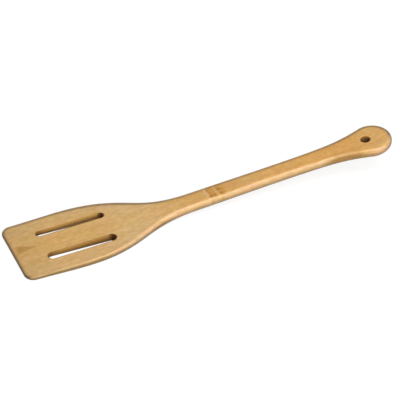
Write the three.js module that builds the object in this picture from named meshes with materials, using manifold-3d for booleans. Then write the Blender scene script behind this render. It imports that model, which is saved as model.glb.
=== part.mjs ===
// Bamboo slotted turner: five edge-glued staves shaped into a thin blade, a neck and a hanging handle.
// X runs from the blade tip to the handle end, Y across the blade, Z up from the flat blade underside.
// Lengths are in millimetres and angles in degrees.

import * as THREE from 'three';
import { mergeVertices } from 'three/addons/utils/BufferGeometryUtils.js';
import Module from 'manifold-3d';

// Staves: equal strips edge to edge, which set the width of the blank
const stavesAcross = 5;
const staveWidth = 12.7;
const glueLine = 0.1;

// Plan outline, as a chain of lengths from the tip to the handle end
const tipToWidest = 42.5;
const shoulderLength = 100;
const gripLength = 64;
const flareLength = 77.9;
const endRadius = 15.95;
const flareAngle = 17;

// Plan outline, across the blade and handle
const tipNarrowing = 0.65;
const tipCornerRadius = 7.7;
const neckEdge = 2.2;
const waistEdge = 1.8;

// Plan outline, how far each curve runs on along its tangent before it turns
const sideLead = 11.5;
const shoulderLead = 54;
const neckLead = 45.5;
const gripLead = 20;
const flareLead = 50;
const bulbLead = 21;

// Side profile: a wedge-shaped blade that eases into an even handle, with a bend behind the blade
const tipThickness = 2.5;
const handleThickness = 7.6;
const wedgeLength = 83;
const wedgeEase = 36;
const flatLength = 88;
const bendLength = 33;
const handleRise = 5.4;

// Rounded edges of the outline, growing with the thickness, and tighter along the top of the blade
const tipEdgeRadius = 0.9;
const handleEdgeRadius = 3.5;
const bladeCrestRadius = 1.8;
const mostOfThickness = 0.48;

// Slots, one in each inner stave, set a little outside the middle of the stave
const slotFromTip = 23.1;
const slotLength = 52.7;
const leftSlotWidth = 6.35;
const rightSlotWidth = 4.76;
const slotSetOut = 0.75;
const slotRimRadius = 0.8;
const slotLowerRimRadius = 0.4;

// Hanging hole, drilled square to the handle, with its place measured along the underside
const holeFromEnd = 20.1;
const holeDiameter = 7;
const holeRimRadius = 1;

// Facets along the outline curves, around a rounded edge and around the hole, and where points become one
const cornerSteps = 8;
const sideSteps = 5;
const shoulderSteps = 20;
const gripSteps = 6;
const flareSteps = 14;
const endSteps = 18;
const slotEndSteps = 12;
const edgeSteps = 4;
const rimSteps = 3;
const holeSteps = 40;
const weldDistance = 1e-4;

// Finish of the staves
const staveRoughness = 0.6;
const centreColour = '#c3935f';
const innerColour = '#d0a574';
const outerColour = '#cba170';

const rise = THREE.MathUtils.degToRad(handleRise);
const flare = THREE.MathUtils.degToRad(flareAngle);
const bladeHalf = stavesAcross * staveWidth / 2;
const tipHalf = bladeHalf - tipNarrowing;
const neckHalf = staveWidth / 2 + neckEdge;
const waistHalf = staveWidth / 2 + waistEdge;
const neckAt = tipToWidest + shoulderLength;
const waistAt = neckAt + gripLength;
const flareEndAt = waistAt + flareLength;
const endCentreAt = flareEndAt + endRadius * Math.sin(flare);
const overallLength = endCentreAt + endRadius;
const holeAt = overallLength - holeFromEnd;

const wasm = await Module();
wasm.setup();

// Height of the underside above the blade's flat: flat, then a bend, then a straight rise
function undersideAt(x) {
  const bent = THREE.MathUtils.clamp(x - flatLength, 0, bendLength);
  const straight = Math.max(x - flatLength - bendLength, 0);
  return Math.tan(rise) * (bent * bent / (2 * bendLength) + straight);
}

// Thickness of the wood: a straight wedge from the tip that eases into the handle's thickness
function thicknessAt(x) {
  const slope = (handleThickness - tipThickness) / (wedgeLength + wedgeEase / 2);
  const eased = THREE.MathUtils.clamp(x - wedgeLength, 0, wedgeEase);
  return tipThickness + slope * (Math.min(x, wedgeLength) + eased - eased * eased / (2 * wedgeEase));
}

function topAt(x) {
  return undersideAt(x) + thicknessAt(x);
}

// Radius of the rounded outline edge, never more than just under half the thickness
function edgeRadiusAt(x) {
  const thickness = thicknessAt(x);
  const share = (thickness - tipThickness) / (handleThickness - tipThickness);
  return Math.min(THREE.MathUtils.lerp(tipEdgeRadius, handleEdgeRadius, share), mostOfThickness * thickness);
}

// Radius of the top edge, held to the blade's crest up to the bend and full on the handle
function crestRadiusAt(x) {
  const share = THREE.MathUtils.smoothstep(x, flatLength, flatLength + bendLength);
  return Math.min(edgeRadiusAt(x), THREE.MathUtils.lerp(bladeCrestRadius, handleEdgeRadius, share));
}

// Points and outward normals along one half of an outline, from its front to its back
function sampleHalf(pieces) {
  const samples = [];
  const take = (curve, t) => {
    const tangent = curve.getTangent(t);
    samples.push({ point: curve.getPoint(t), normal: new THREE.Vector2(-tangent.y, tangent.x) });
  };
  for (const [curve, steps] of pieces) {
    for (let i = 0; i < steps; i += 1) {
      take(curve, i / steps);
    }
  }
  take(pieces.at(-1)[0], 1);
  return samples;
}

// A closed ring of points: the half outline moved out by a distance, with its mirror image
function ringOf(samples, outAt, heightAt) {
  const half = samples.map(({ point, normal }) => {
    const moved = point.clone().addScaledVector(normal, outAt(point.x));
    return new THREE.Vector3(moved.x, Math.max(moved.y, 0), heightAt(moved.x, point.x));
  });
  const mirrored = half.map((p) => new THREE.Vector3(p.x, -p.y, p.z));
  return [...mirrored, ...half.reverse()];
}

// A closed surface through rings from bottom to top, each end closed by strips from side to side
function loft(rings) {
  const count = rings[0].length;
  const index = [];
  const quad = (a, b, c, d) => index.push(a, b, c, a, c, d);
  for (let r = 0; r + 1 < rings.length; r += 1) {
    for (let i = 0; i < count; i += 1) {
      const next = (i + 1) % count;
      quad(r * count + i, r * count + next, (r + 1) * count + next, (r + 1) * count + i);
    }
  }
  const top = (rings.length - 1) * count;
  for (let i = 0; i + 1 < count / 2; i += 1) {
    const across = count - 1 - i;
    quad(i, across, across - 1, i + 1);
    quad(top + i, top + i + 1, top + across - 1, top + across);
  }
  const geometry = new THREE.BufferGeometry().setFromPoints(rings.flat());
  geometry.setIndex(index);
  return geometry;
}

// A closed geometry as a solid for cutting, with shared vertices merged and empty triangles dropped
function toSolid(geometry) {
  const bare = geometry.clone();
  bare.deleteAttribute('normal');
  bare.deleteAttribute('uv');
  const merged = mergeVertices(bare, weldDistance);
  const triangles = [];
  for (let i = 0; i < merged.index.count; i += 3) {
    const [a, b, c] = [0, 1, 2].map((k) => merged.index.getX(i + k));
    if (a !== b && b !== c && c !== a) {
      triangles.push(a, b, c);
    }
  }
  return new wasm.Manifold(new wasm.Mesh({
    numProp: 3,
    vertProperties: new Float32Array(merged.attributes.position.array),
    triVerts: new Uint32Array(triangles),
  }));
}

function toGeometry(solid) {
  const mesh = solid.getMesh();
  const geometry = new THREE.BufferGeometry();
  geometry.setAttribute('position', new THREE.BufferAttribute(new Float32Array(mesh.vertProperties), 3));
  geometry.setIndex([...mesh.triVerts]);
  const flat = geometry.toNonIndexed();
  flat.computeVertexNormals();
  return flat;
}

// One half of the turner's outline: tip corner, blade side, shoulder, grip, flare and round end
function turnerOutline() {
  const point = (x, y) => new THREE.Vector2(x, y);
  const flareEnd = point(flareEndAt, endRadius * Math.cos(flare));
  const flareTurn = point(flareEnd.x - bulbLead * Math.cos(flare), flareEnd.y - bulbLead * Math.sin(flare));
  const corner = new THREE.EllipseCurve(
    tipCornerRadius, tipHalf - tipCornerRadius, tipCornerRadius, tipCornerRadius, Math.PI, Math.PI / 2, true,
  );
  const side = new THREE.CubicBezierCurve(
    point(tipCornerRadius, tipHalf), point(tipCornerRadius + sideLead, tipHalf),
    point(tipToWidest - sideLead, bladeHalf), point(tipToWidest, bladeHalf),
  );
  const shoulder = new THREE.CubicBezierCurve(
    point(tipToWidest, bladeHalf), point(tipToWidest + shoulderLead, bladeHalf),
    point(neckAt - neckLead, neckHalf), point(neckAt, neckHalf),
  );
  const grip = new THREE.CubicBezierCurve(
    point(neckAt, neckHalf), point(neckAt + gripLead, neckHalf),
    point(waistAt - gripLead, waistHalf), point(waistAt, waistHalf),
  );
  const flared = new THREE.CubicBezierCurve(
    point(waistAt, waistHalf), point(waistAt + flareLead, waistHalf), flareTurn, flareEnd,
  );
  const end = new THREE.EllipseCurve(endCentreAt, 0, endRadius, endRadius, Math.PI / 2 + flare, 0, true);
  return sampleHalf([
    [corner, cornerSteps],
    [side, sideSteps],
    [shoulder, shoulderSteps],
    [grip, gripSteps],
    [flared, flareSteps],
    [end, endSteps],
  ]);
}

// The shaped blank: the outline with its edges rounded over between the underside and the top
function blank() {
  const outline = turnerOutline();
  const rings = [];
  const addRing = (angle, radiusAt, heightAt) => {
    const inset = (x) => -radiusAt(x) * (1 - Math.cos(angle));
    rings.push(ringOf(outline, inset, heightAt));
  };
  for (let i = 0; i <= edgeSteps; i += 1) {
    const angle = (i / edgeSteps - 1) * Math.PI / 2;
    addRing(angle, edgeRadiusAt, (x, edgeX) => undersideAt(x) + edgeRadiusAt(edgeX) * (1 + Math.sin(angle)));
  }
  for (let i = 0; i <= edgeSteps; i += 1) {
    const angle = i / edgeSteps * Math.PI / 2;
    addRing(angle, crestRadiusAt, (x, edgeX) => topAt(x) - crestRadiusAt(edgeX) * (1 - Math.sin(angle)));
  }
  return toSolid(loft(rings));
}

// How far a rounded rim stands out from the wall of its opening, against depth below the face.
// The first step runs on past the face at the same slope, so the cutter leaves the wood cleanly.
function rimProfile(radius) {
  const profile = [];
  for (let i = 1; i <= rimSteps; i += 1) {
    const angle = i / rimSteps * Math.PI / 2;
    profile.push({ out: radius * (1 - Math.sin(angle)), depth: radius * (1 - Math.cos(angle)) });
  }
  const { out, depth } = profile[0];
  return [{ out: radius + (radius - out), depth: -depth }, ...profile];
}

// The space cut by one slot: upright walls, round ends and rounded rims on both faces
function slotSpace(width) {
  const reach = width / 2;
  const front = slotFromTip + reach;
  const back = slotFromTip + slotLength - reach;
  const outline = sampleHalf([
    [new THREE.EllipseCurve(front, 0, reach, reach, Math.PI, Math.PI / 2, true), slotEndSteps],
    [new THREE.LineCurve(new THREE.Vector2(front, reach), new THREE.Vector2(back, reach)), 1],
    [new THREE.EllipseCurve(back, 0, reach, reach, Math.PI / 2, 0, true), slotEndSteps],
  ]);
  const lower = rimProfile(slotLowerRimRadius)
    .map(({ out, depth }) => ringOf(outline, () => out, (x) => undersideAt(x) + depth));
  const upper = rimProfile(slotRimRadius)
    .map(({ out, depth }) => ringOf(outline, () => out, (x) => topAt(x) - depth));
  return loft([...lower, ...upper.reverse()]);
}

// The space cut by the hanging hole, turned about its own axis and tilted with the handle
function holeSpace() {
  const bore = holeDiameter / 2;
  const through = handleThickness * Math.cos(rise);
  const lower = rimProfile(holeRimRadius).map(({ out, depth }) => new THREE.Vector2(bore + out, depth));
  const upper = lower.map((p) => new THREE.Vector2(p.x, through - p.y)).reverse();
  const start = new THREE.Vector2(0, lower[0].y);
  const finish = new THREE.Vector2(0, upper.at(-1).y);
  const profile = [start, ...lower, ...upper, finish];
  const space = new THREE.LatheGeometry(profile, holeSteps);
  space.rotateX(Math.PI / 2);
  space.rotateY(-rise);
  space.translate(holeAt, 0, undersideAt(holeAt));
  return space;
}

// A tall slab of the blank between two distances from the centre line, clear of the glue lines
function staveSlab(fromY, toY) {
  const over = endRadius;
  const height = topAt(overallLength) + 2 * over;
  const slab = new THREE.BoxGeometry(overallLength + 2 * over, toY - fromY, height);
  slab.translate(overallLength / 2, (fromY + toY) / 2, height / 2 - over);
  return toSolid(slab);
}

const slotOut = staveWidth + slotSetOut;
const shaped = blank()
  .subtract(toSolid(slotSpace(leftSlotWidth).translate(0, -slotOut, 0)))
  .subtract(toSolid(slotSpace(rightSlotWidth).translate(0, slotOut, 0)))
  .subtract(toSolid(holeSpace()));

const centreEdge = staveWidth / 2;
const innerEdge = centreEdge + staveWidth;
const outerEdge = innerEdge + staveWidth;
const gap = glueLine / 2;

const turner = new THREE.Group();
turner.position.x = -overallLength / 2;

function addStave(name, fromY, toY, colour) {
  const material = new THREE.MeshStandardMaterial({ color: colour, roughness: staveRoughness, metalness: 0 });
  const stave = new THREE.Mesh(toGeometry(shaped.intersect(staveSlab(fromY, toY))), material);
  stave.name = name;
  turner.add(stave);
}

addStave('centre_stave', -centreEdge + gap, centreEdge - gap, centreColour);
addStave('left_inner_stave', -innerEdge + gap, -centreEdge - gap, innerColour);
addStave('right_inner_stave', centreEdge + gap, innerEdge - gap, innerColour);
addStave('left_outer_stave', -outerEdge - gap, -innerEdge - gap, outerColour);
addStave('right_outer_stave', innerEdge + gap, outerEdge + gap, outerColour);

export default turner;
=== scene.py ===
"""Bamboo slotted turner: five edge-glued staves shaped into a blade, a neck and a handle."""
import logging
import math
from dataclasses import dataclass, field
from enum import Enum
from typing import Callable, NamedTuple, Sequence

import bmesh
import bpy
from mathutils import Matrix, Vector, noise
from mathutils.kdtree import KDTree


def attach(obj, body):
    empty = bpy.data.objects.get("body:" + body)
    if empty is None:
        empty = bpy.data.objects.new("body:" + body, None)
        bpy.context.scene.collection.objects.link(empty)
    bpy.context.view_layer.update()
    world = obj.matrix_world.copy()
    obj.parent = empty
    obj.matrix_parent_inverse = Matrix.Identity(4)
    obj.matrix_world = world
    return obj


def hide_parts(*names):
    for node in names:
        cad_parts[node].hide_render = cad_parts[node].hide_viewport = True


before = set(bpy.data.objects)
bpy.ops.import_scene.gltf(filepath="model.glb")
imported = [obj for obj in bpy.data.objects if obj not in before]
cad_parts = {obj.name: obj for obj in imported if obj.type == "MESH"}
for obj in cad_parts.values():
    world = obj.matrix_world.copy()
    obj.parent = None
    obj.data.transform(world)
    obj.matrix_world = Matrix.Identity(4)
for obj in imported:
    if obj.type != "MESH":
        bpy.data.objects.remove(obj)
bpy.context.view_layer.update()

BODY = "root"
MM = 0.001
WELD = 1e-7
SLIVER = 1e-8
PHOTO_PIXELS = 400

Colour = tuple[float, float, float]
Field = Callable[[float], float]
Socket = bpy.types.NodeSocket
Value = Socket | float

logging.basicConfig(level=logging.INFO, format="%(levelname)s %(message)s")
log = logging.getLogger("turner")


class Side(Enum):
    """Side of the centre line, as the cook who holds the handle sees it."""

    LEFT = -1
    RIGHT = 1


class Mark(Enum):
    """Growth marks that a stave can carry."""

    NODE = "node"
    TIP_FLAME = "tip_flame"


class Shade(Enum):
    """Pale and deep tones of a strip, by the part of the culm wall it was planed from."""

    WARM = ((0.76, 0.465, 0.165), (0.61, 0.347, 0.104))
    LIGHT = ((0.75, 0.475, 0.184), (0.595, 0.349, 0.114))
    SAPWOOD = ((0.74, 0.48, 0.203), (0.58, 0.353, 0.128))


def clamp(value: float, low: float, high: float) -> float:
    """Returns value held between low and high."""
    return max(low, min(high, value))


def between(first: float, second: float, share: float) -> float:
    """Returns the value at a share of the way from first to second."""
    return first + (second - first) * share


class Span(NamedTuple):
    """A stretch over which something sets in, from its start to its end."""

    start: float
    end: float

    def rise(self, value: float) -> float:
        """Returns 0 before the stretch, 1 after it and an eased share within it."""
        share = clamp((value - self.start) / (self.end - self.start), 0.0, 1.0)
        return share * share * (3.0 - 2.0 * share)

    def fall(self, value: float) -> float:
        """Returns 1 before the stretch, 0 after it and an eased share within it."""
        return 1.0 - self.rise(value)


class EdgePoint(NamedTuple):
    """A point of a plan outline with its outward normal."""

    point: Vector
    normal: Vector


class RimStep(NamedTuple):
    """One step of a rounded rim: distance out from the wall and depth below the face."""

    out: float
    depth: float


@dataclass(frozen=True)
class Arc:
    """A circular arc in plan, swept clockwise."""

    centre: Vector
    radius: float
    start: float
    end: float

    def at(self, t: float) -> EdgePoint:
        """Finds a place on the arc.

        Args:
            t: Share of the arc, from 0 to 1.

        Returns:
            The point and its outward normal.
        """
        angle = self.start + (self.end - self.start) * t
        normal = Vector((math.cos(angle), math.sin(angle)))
        return EdgePoint(self.centre + normal * self.radius, normal)


@dataclass(frozen=True)
class Sweep:
    """A cubic curve in plan through four control points, with the wood on its right."""

    p0: Vector
    p1: Vector
    p2: Vector
    p3: Vector

    @classmethod
    def lengthwise(cls, x0: float, y0: float, lead_out: float,
                   lead_in: float, x1: float, y1: float) -> "Sweep":
        """Returns a curve that leaves its first point and meets its last one along X."""
        return cls(Vector((x0, y0)), Vector((x0 + lead_out, y0)),
                   Vector((x1 - lead_in, y1)), Vector((x1, y1)))

    def at(self, t: float) -> EdgePoint:
        """Finds a place on the curve.

        Args:
            t: Share of the curve, from 0 to 1.

        Returns:
            The point and its outward normal.
        """
        s = 1.0 - t
        point = (self.p0 * s**3 + self.p1 * (3 * s * s * t)
                 + self.p2 * (3 * s * t * t) + self.p3 * t**3)
        along = ((self.p1 - self.p0) * (s * s) + (self.p2 - self.p1) * (2 * s * t)
                 + (self.p3 - self.p2) * (t * t))
        along.normalize()
        return EdgePoint(point, Vector((-along.y, along.x)))


def sample_half(pieces: Sequence[tuple[Arc | Sweep, int]]) -> list[EdgePoint]:
    """Samples one half of an outline, from its front to its back.

    Args:
        pieces: Curves in order, each with its number of steps.

    Returns:
        Points with outward normals, shared joints listed once.
    """
    samples = [curve.at(i / steps) for curve, steps in pieces for i in range(steps)]
    samples.append(pieces[-1][0].at(1.0))
    return samples


@dataclass(frozen=True)
class StaveLayout:
    """Widths of the staves and of the glue lines between them."""

    across: int = 5
    width: float = 12.7 * MM
    glue_line: float = 0.03 * MM

    @property
    def half_blade(self) -> float:
        """Half the width of the blank."""
        return self.across * self.width / 2


@dataclass(frozen=True)
class SideProfile:
    """Side view: a wedge-shaped blade that eases into an even handle, bent behind the blade."""

    tip_thickness: float = 2.5 * MM
    handle_thickness: float = 7.6 * MM
    wedge_length: float = 83 * MM
    wedge_ease: float = 36 * MM
    flat_length: float = 88 * MM
    bend_length: float = 33 * MM
    handle_rise: float = math.radians(5.4)
    tip_edge_radius: float = 0.9 * MM
    handle_edge_radius: float = 3.5 * MM
    blade_crest_radius: float = 1.8 * MM
    edge_share: float = 0.48

    def underside(self, x: float) -> float:
        """Finds the height of the underside.

        Args:
            x: Distance from the tip.

        Returns:
            Height above the flat of the blade.
        """
        bent = clamp(x - self.flat_length, 0.0, self.bend_length)
        straight = max(x - self.flat_length - self.bend_length, 0.0)
        return math.tan(self.handle_rise) * (bent * bent / (2 * self.bend_length) + straight)

    def thickness(self, x: float) -> float:
        """Finds the thickness of the wood.

        Args:
            x: Distance from the tip.

        Returns:
            Distance from the underside to the top face.
        """
        growth = self.handle_thickness - self.tip_thickness
        slope = growth / (self.wedge_length + self.wedge_ease / 2)
        eased = clamp(x - self.wedge_length, 0.0, self.wedge_ease)
        run = min(x, self.wedge_length) + eased - eased * eased / (2 * self.wedge_ease)
        return self.tip_thickness + slope * run

    def top(self, x: float) -> float:
        """Returns the height of the top face at distance x from the tip."""
        return self.underside(x) + self.thickness(x)

    def edge_radius(self, x: float) -> float:
        """Finds the radius of the rounded lower edge.

        Args:
            x: Distance from the tip.

        Returns:
            The radius, at most a share of the thickness.
        """
        thickness = self.thickness(x)
        share = (thickness - self.tip_thickness) / (self.handle_thickness - self.tip_thickness)
        radius = between(self.tip_edge_radius, self.handle_edge_radius, share)
        return min(radius, self.edge_share * thickness)

    def crest_radius(self, x: float) -> float:
        """Finds the radius of the rounded top edge, tight along the blade and full on the handle.

        Args:
            x: Distance from the tip.

        Returns:
            The radius, at most the lower edge's.
        """
        share = Span(self.flat_length, self.flat_length + self.bend_length).rise(x)
        crest = between(self.blade_crest_radius, self.handle_edge_radius, share)
        return min(self.edge_radius(x), crest)


@dataclass(frozen=True)
class PlanOutline:
    """Plan view: tip corner, blade side, shoulder, grip, flare and round end."""

    layout: StaveLayout
    tip_to_widest: float = 42.5 * MM
    shoulder_length: float = 100 * MM
    grip_length: float = 64 * MM
    flare_length: float = 77.9 * MM
    end_radius: float = 15.95 * MM
    flare_angle: float = math.radians(17)
    tip_narrowing: float = 0.65 * MM
    tip_corner_radius: float = 7.7 * MM
    neck_edge: float = 2.2 * MM
    waist_edge: float = 1.8 * MM
    side_lead: float = 11.5 * MM
    shoulder_lead: float = 54 * MM
    neck_lead: float = 45.5 * MM
    grip_lead: float = 20 * MM
    flare_lead: float = 50 * MM
    bulb_lead: float = 21 * MM
    corner_steps: int = 20
    side_steps: int = 26
    shoulder_steps: int = 72
    grip_steps: int = 44
    flare_steps: int = 54
    end_steps: int = 52

    @property
    def neck_at(self) -> float:
        """Distance of the neck from the tip."""
        return self.tip_to_widest + self.shoulder_length

    @property
    def waist_at(self) -> float:
        """Distance of the handle's narrowest place from the tip."""
        return self.neck_at + self.grip_length

    @property
    def end_centre(self) -> float:
        """Distance of the round end's centre from the tip."""
        flare_end = self.waist_at + self.flare_length
        return flare_end + self.end_radius * math.sin(self.flare_angle)

    @property
    def length(self) -> float:
        """Overall length."""
        return self.end_centre + self.end_radius

    def half(self) -> list[EdgePoint]:
        """Samples the half outline on the positive side.

        Returns:
            Points with outward normals, from the tip to the handle end.
        """
        blade = self.layout.half_blade
        tip = blade - self.tip_narrowing
        neck = self.layout.width / 2 + self.neck_edge
        waist = self.layout.width / 2 + self.waist_edge
        corner = self.tip_corner_radius
        widest, neck_at, waist_at = self.tip_to_widest, self.neck_at, self.waist_at
        flare_dir = Vector((math.cos(self.flare_angle), math.sin(self.flare_angle)))
        end_centre = Vector((self.end_centre, 0.0))
        flare_end = end_centre + Vector((-flare_dir.y, flare_dir.x)) * self.end_radius
        tip_corner = Arc(Vector((corner, tip - corner)), corner, math.pi, math.pi / 2)
        side = Sweep.lengthwise(corner, tip, self.side_lead, self.side_lead, widest, blade)
        shoulder = Sweep.lengthwise(widest, blade, self.shoulder_lead,
                                    self.neck_lead, neck_at, neck)
        grip = Sweep.lengthwise(neck_at, neck, self.grip_lead, self.grip_lead, waist_at, waist)
        flare = Sweep(Vector((waist_at, waist)), Vector((waist_at + self.flare_lead, waist)),
                      flare_end - flare_dir * self.bulb_lead, flare_end)
        round_end = Arc(end_centre, self.end_radius, math.pi / 2 + self.flare_angle, 0.0)
        return sample_half((
            (tip_corner, self.corner_steps), (side, self.side_steps),
            (shoulder, self.shoulder_steps), (grip, self.grip_steps),
            (flare, self.flare_steps), (round_end, self.end_steps),
        ))


class RingLoft:
    """A closed mesh through mirrored rings of points, stacked from bottom to top."""

    def __init__(self, columns: int = 1) -> None:
        """Starts an empty loft whose caps have a number of faces across."""
        self.columns = columns
        self.rings: list[list[Vector]] = []

    def add_ring(self, half: Sequence[EdgePoint], out: Field,
                 height: Callable[[float, float], float]) -> None:
        """Adds one ring.

        Args:
            half: Half outline from front to back.
            out: Distance to move a point outwards, from the outline's x.
            height: Height of a point, from its own x and the outline's x.
        """
        side: list[Vector] = []
        for point, normal in half:
            moved = point + normal * out(point.x)
            side.append(Vector((moved.x, max(moved.y, 0.0), height(moved.x, point.x))))
        mirrored = [Vector((p.x, -p.y, p.z)) for p in side]
        front = [side[0].lerp(mirrored[0], k / self.columns) for k in range(1, self.columns)]
        self.rings.append(mirrored + side[::-1] + front)

    def mesh(self) -> bmesh.types.BMesh:
        """Skins the rings and closes both ends.

        Returns:
            A closed bmesh with outward faces.
        """
        bm = bmesh.new()
        rows = [[bm.verts.new(p) for p in ring] for ring in self.rings]
        count = len(rows[0])
        for lower, upper in zip(rows, rows[1:]):
            for i in range(count):
                after = (i + 1) % count
                bm.faces.new((lower[i], lower[after], upper[after], upper[i]))
        for ring in (rows[0], rows[-1]):
            self._cap(bm, ring)
        bmesh.ops.remove_doubles(bm, verts=bm.verts[:], dist=WELD)
        bmesh.ops.dissolve_degenerate(bm, edges=bm.edges[:], dist=SLIVER)
        bmesh.ops.recalc_face_normals(bm, faces=bm.faces[:])
        return bm

    def _cap(self, bm: bmesh.types.BMesh, ring: Sequence[bmesh.types.BMVert]) -> None:
        """Closes a ring with rows of faces that run from side to side.

        Args:
            bm: Mesh to add to.
            ring: Vertices of the ring: one side, the other side back, then the front edge.
        """
        columns = self.columns
        sides = len(ring) - (columns - 1)
        rows = [[ring[0], *ring[:sides - 1:-1], ring[sides - 1]]]
        for i in range(1, sides // 2):
            near, far = ring[i], ring[sides - 1 - i]
            places = [near.co.lerp(far.co, k / columns) for k in range(1, columns)]
            rows.append([near, *(bm.verts.new(place) for place in places), far])
        for row, after in zip(rows, rows[1:]):
            for k in range(columns):
                bm.faces.new((row[k], row[k + 1], after[k + 1], after[k]))


def rounded_rim(radius: float, steps: int) -> list[RimStep]:
    """Steps round a rim, from just outside the face down to the wall.

    Args:
        radius: Radius of the rounding.
        steps: Number of steps around it.

    Returns:
        Steps in order; the first runs on past the face so a cutter leaves cleanly.
    """
    angles = [i / steps * math.pi / 2 for i in range(1, steps + 1)]
    rim = [RimStep(radius * (1 - math.sin(a)), radius * (1 - math.cos(a))) for a in angles]
    return [RimStep(2 * radius - rim[0].out, -rim[0].depth), *rim]


def new_object(name: str, bm: bmesh.types.BMesh) -> bpy.types.Object:
    """Moves a bmesh into a new linked object.

    Args:
        name: Name of the object and its mesh.
        bm: Mesh to move; it is freed.

    Returns:
        The linked object.
    """
    mesh = bpy.data.meshes.new(name)
    bm.to_mesh(mesh)
    bm.free()
    obj = bpy.data.objects.new(name, mesh)
    bpy.context.scene.collection.objects.link(obj)
    return obj


@dataclass(frozen=True)
class DrainSlot:
    """One long slot through the blade with round ends and rounded rims."""

    side: Side
    layout: StaveLayout
    profile: SideProfile
    width: float
    # How dark the wall gets at the top and at the bottom, from the cutter's burn and painted
    # shade.
    high_burn_and_shade: float
    low_burn_and_shade: float
    from_tip: float = 23.1 * MM
    length: float = 52.7 * MM
    set_out: float = 0.75 * MM
    rim_radius: float = 0.8 * MM
    lower_rim_radius: float = 0.4 * MM
    wall: Span = Span(0.6 * MM, 1.0 * MM)
    front_burn_and_shade: float = 0.88
    front_reach: float = 16 * MM
    back_reach: float = 7 * MM
    end_steps: int = 20
    rim_steps: int = 8

    @property
    def centre_y(self) -> float:
        """Distance of the slot's centre line from the turner's, with its sign."""
        return self.side.value * (self.layout.width + self.set_out)

    def cutter(self) -> bpy.types.Object:
        """Makes the slot's space.

        Returns:
            The space as an object to cut with.
        """
        reach = self.width / 2
        front = Vector((self.from_tip + reach, 0.0))
        back = Vector((self.from_tip + self.length - reach, 0.0))
        up = Vector((0.0, reach))
        run = Sweep(front + up, front.lerp(back, 1 / 3) + up,
                    front.lerp(back, 2 / 3) + up, back + up)
        half = sample_half((
            (Arc(front, reach, math.pi, math.pi / 2), self.end_steps),
            (run, self.end_steps),
            (Arc(back, reach, math.pi / 2, 0.0), self.end_steps),
        ))
        loft = RingLoft()
        for step in rounded_rim(self.lower_rim_radius, self.rim_steps):
            loft.add_ring(half, lambda _, s=step: s.out,
                          lambda x, _, s=step: self.profile.underside(x) + s.depth)
        for step in reversed(rounded_rim(self.rim_radius, self.rim_steps)):
            loft.add_ring(half, lambda _, s=step: s.out,
                          lambda x, _, s=step: self.profile.top(x) - s.depth)
        bm = loft.mesh()
        bmesh.ops.translate(bm, verts=bm.verts[:], vec=(0.0, self.centre_y, 0.0))
        return new_object(f"slot_space_{self.side.name.lower()}", bm)

    def burn_and_shade_at(self, p: Vector) -> float:
        """Finds how far the cutter's burn and painted shade darken a point.

        Args:
            p: Point of the blank.

        Returns:
            0 on the faces, more down the wall, and most at the slot's ends.
        """
        reach = self.width / 2
        front, back = self.from_tip, self.from_tip + self.length
        x = clamp(p.x, front + reach, back - reach)
        off = math.hypot(p.x - x, p.y - self.centre_y) - reach
        below = self.profile.top(p.x) - p.z
        depth = clamp(below / self.profile.thickness(p.x), 0.0, 1.0)
        burn_and_shade_dark = between(self.high_burn_and_shade, self.low_burn_and_shade, depth)
        # Painted shade darkens the wall towards the slot's front and most at its rear end.
        burn_and_shade_dark = between(burn_and_shade_dark, self.front_burn_and_shade, Span(front, front + self.front_reach).fall(p.x))
        burn_and_shade_dark = between(burn_and_shade_dark, 1.0, Span(back - self.back_reach, back).rise(p.x))
        return self.wall.fall(off) * burn_and_shade_dark


@dataclass(frozen=True)
class HangHole:
    """The hanging hole, drilled square to the handle with a rounded rim."""

    profile: SideProfile
    overall: float
    from_end: float = 20.1 * MM
    diameter: float = 7 * MM
    rim_radius: float = 1 * MM
    # How dark the wall gets, from the drill's burn and painted shade.
    burn_and_shade_dark: float = 0.86
    segments: int = 72
    rim_steps: int = 8

    @property
    def centre(self) -> Vector:
        """Where the hole's axis meets the underside."""
        x = self.overall - self.from_end
        return Vector((x, 0.0, self.profile.underside(x)))

    @property
    def axis(self) -> Vector:
        """Direction of the hole, square to the handle."""
        rise = self.profile.handle_rise
        return Vector((-math.sin(rise), 0.0, math.cos(rise)))

    def cutter(self) -> bpy.types.Object:
        """Makes the hole's space.

        Returns:
            The space as an object to cut with.
        """
        bore = self.diameter / 2
        through = self.profile.handle_thickness * math.cos(self.profile.handle_rise)
        lower = [(bore + s.out, s.depth) for s in rounded_rim(self.rim_radius, self.rim_steps)]
        upper = [(r, through - z) for r, z in reversed(lower)]
        angles = [2 * math.pi * i / self.segments for i in range(self.segments)]
        bm = bmesh.new()
        rows = []
        for radius, z in lower + upper:
            ring = [(radius * math.cos(a), radius * math.sin(a), z) for a in angles]
            rows.append([bm.verts.new(place) for place in ring])
        for row, after in zip(rows, rows[1:]):
            for i in range(self.segments):
                j = (i + 1) % self.segments
                bm.faces.new((row[i], row[j], after[j], after[i]))
        bm.faces.new(rows[0])
        bm.faces.new(rows[-1])
        bmesh.ops.recalc_face_normals(bm, faces=bm.faces[:])
        tilt = Matrix.Rotation(-self.profile.handle_rise, 4, "Y")
        place = Matrix.Translation(self.centre) @ tilt
        bmesh.ops.transform(bm, matrix=place, verts=bm.verts[:])
        return new_object("hole_space", bm)

    def burn_and_shade_at(self, p: Vector) -> float:
        """Returns how far the drill's burn and painted shade darken a point: most on the wall,
        not on the faces.
        """
        from_axis = (p - self.centre).cross(self.axis).length
        return self.burn_and_shade_dark * Span(0.0, self.rim_radius).fall(from_axis - self.diameter / 2)


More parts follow.
